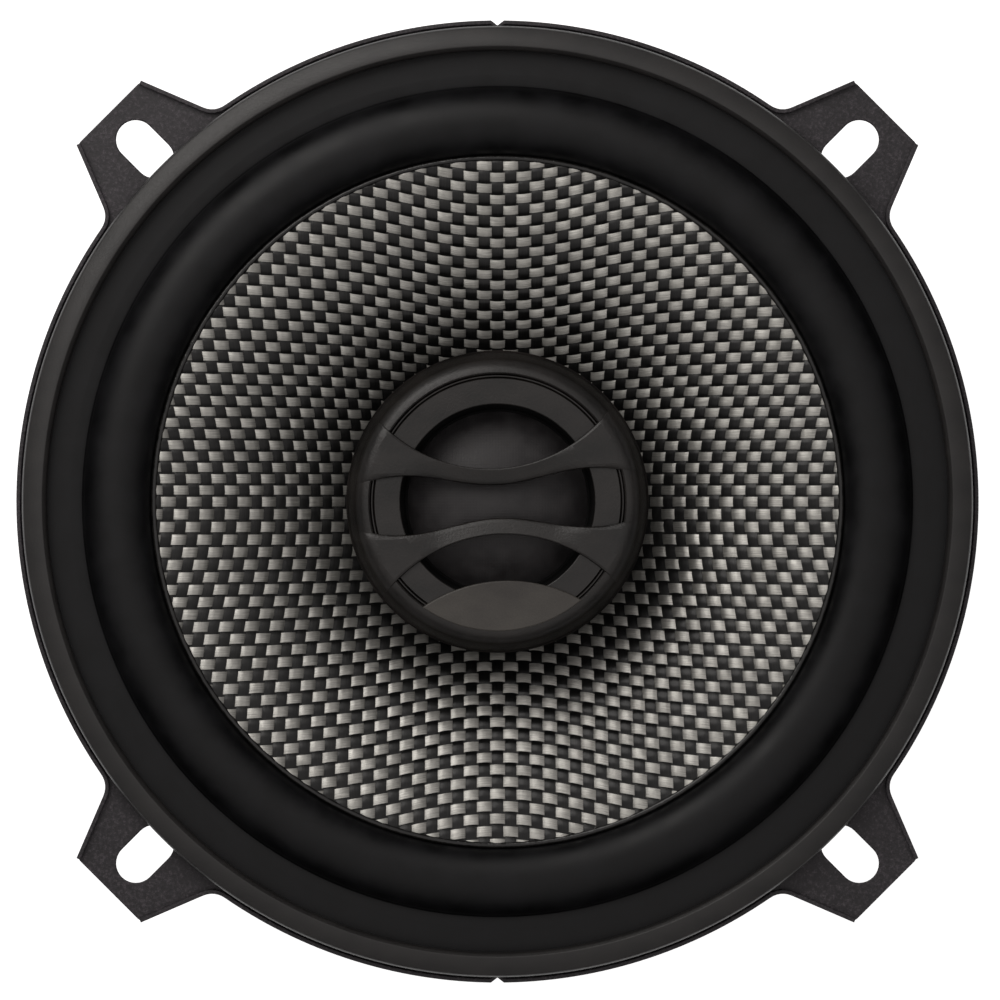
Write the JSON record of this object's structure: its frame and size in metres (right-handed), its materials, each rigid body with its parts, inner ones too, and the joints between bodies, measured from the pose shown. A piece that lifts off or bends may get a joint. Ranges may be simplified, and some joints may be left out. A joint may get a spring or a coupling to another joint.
{
  "type": "coaxial car speaker",
  "caption": "Round coaxial loudspeaker with a woven cone, rubber surround, dome tweeter on a centre post and a stamped basket with slotted mounting ears.",
  "frame": {"origin": "centre of the magnet boot's rear face, on the speaker's axis", "axes": "+Z along the speaker's axis, out of the cone; +Y towards the top of the front as seen in use; ears on the diagonals"},
  "size_m": [0.133, 0.133, 0.0614],
  "materials": {
    "powder_coated_steel": "fine-textured black powder coat",
    "gasket_plastic": "smooth matte black trim ring",
    "surround_rubber": "smooth matte butyl rubber",
    "woven_cone": "plain weave of silver-grey glass and black carbon tows in resin",
    "spider_cloth": "resin-dipped corrugated cotton",
    "former_film": "amber polyimide film",
    "copper_winding": "enamelled copper wire",
    "plated_steel": "zinc plated",
    "ferrite": "ground ferrite",
    "boot_rubber": "moulded matte rubber",
    "black_plastic": "fine-grained moulded black plastic",
    "dome_silk": "coated silk",
    "nickel_plating": "nickel plated",
    "board_laminate": "brown paper laminate",
    "terminal_brass": "plain brass",
    "capacitor_sleeve": "shrink sleeve",
    "tinsel_braid": "braided tinsel wire",
    "red_insulation": "PVC insulation",
    "black_insulation": "PVC insulation"
  },
  "bodies": {
    "chassis": {"basket": "powder_coated_steel", "front_gasket_ring": "gasket_plastic", "surround": "surround_rubber", "spider": "spider_cloth", "top_plate": "plated_steel", "ferrite_magnet": "ferrite", "t_yoke": "plated_steel", "magnet_boot": "boot_rubber", "basket_rivet_1": "plated_steel", "basket_rivet_2": "plated_steel", "basket_rivet_3": "plated_steel", "basket_rivet_4": "plated_steel", "tweeter_post": "black_plastic", "post_stud": "plated_steel", "post_washer": "plated_steel", "post_nut": "plated_steel", "tweeter_housing": "black_plastic", "tweeter_bezel": "black_plastic", "tweeter_faceplate": "black_plastic", "tweeter_surround": "dome_silk", "tweeter_pole_plate": "plated_steel", "tweeter_magnet": "nickel_plating", "tweeter_yoke_cup": "plated_steel", "terminal_board": "board_laminate", "positive_terminal": "terminal_brass", "negative_terminal": "terminal_brass", "board_rivet_1": "plated_steel", "board_rivet_2": "plated_steel", "crossover_capacitor": "capacitor_sleeve", "tinsel_lead_positive": "tinsel_braid", "tinsel_lead_negative": "tinsel_braid", "tweeter_lead_positive": "red_insulation", "tweeter_lead_negative": "black_insulation"},
    "cone_assembly": {"cone": "woven_cone", "voice_coil_former": "former_film", "voice_coil": "copper_winding"},
    "dome_assembly": {"tweeter_dome": "dome_silk", "tweeter_coil": "copper_winding"}
  },
  "joints": [
    {"name": "cone_travel", "type": "slide", "parent": "chassis", "child": "cone_assembly", "axis": [0, 0, 1], "range_m": [-0.003, 0.003], "stiffness_N_per_m": 2300, "deforming": ["surround", "spider", "tinsel_lead_positive", "tinsel_lead_negative"]},
    {"name": "dome_travel", "type": "slide", "parent": "chassis", "child": "dome_assembly", "axis": [0, 0, 1], "range_m": [-0.0002, 0.0002], "stiffness_N_per_m": 20000, "deforming": ["tweeter_surround"]}
  ]
}
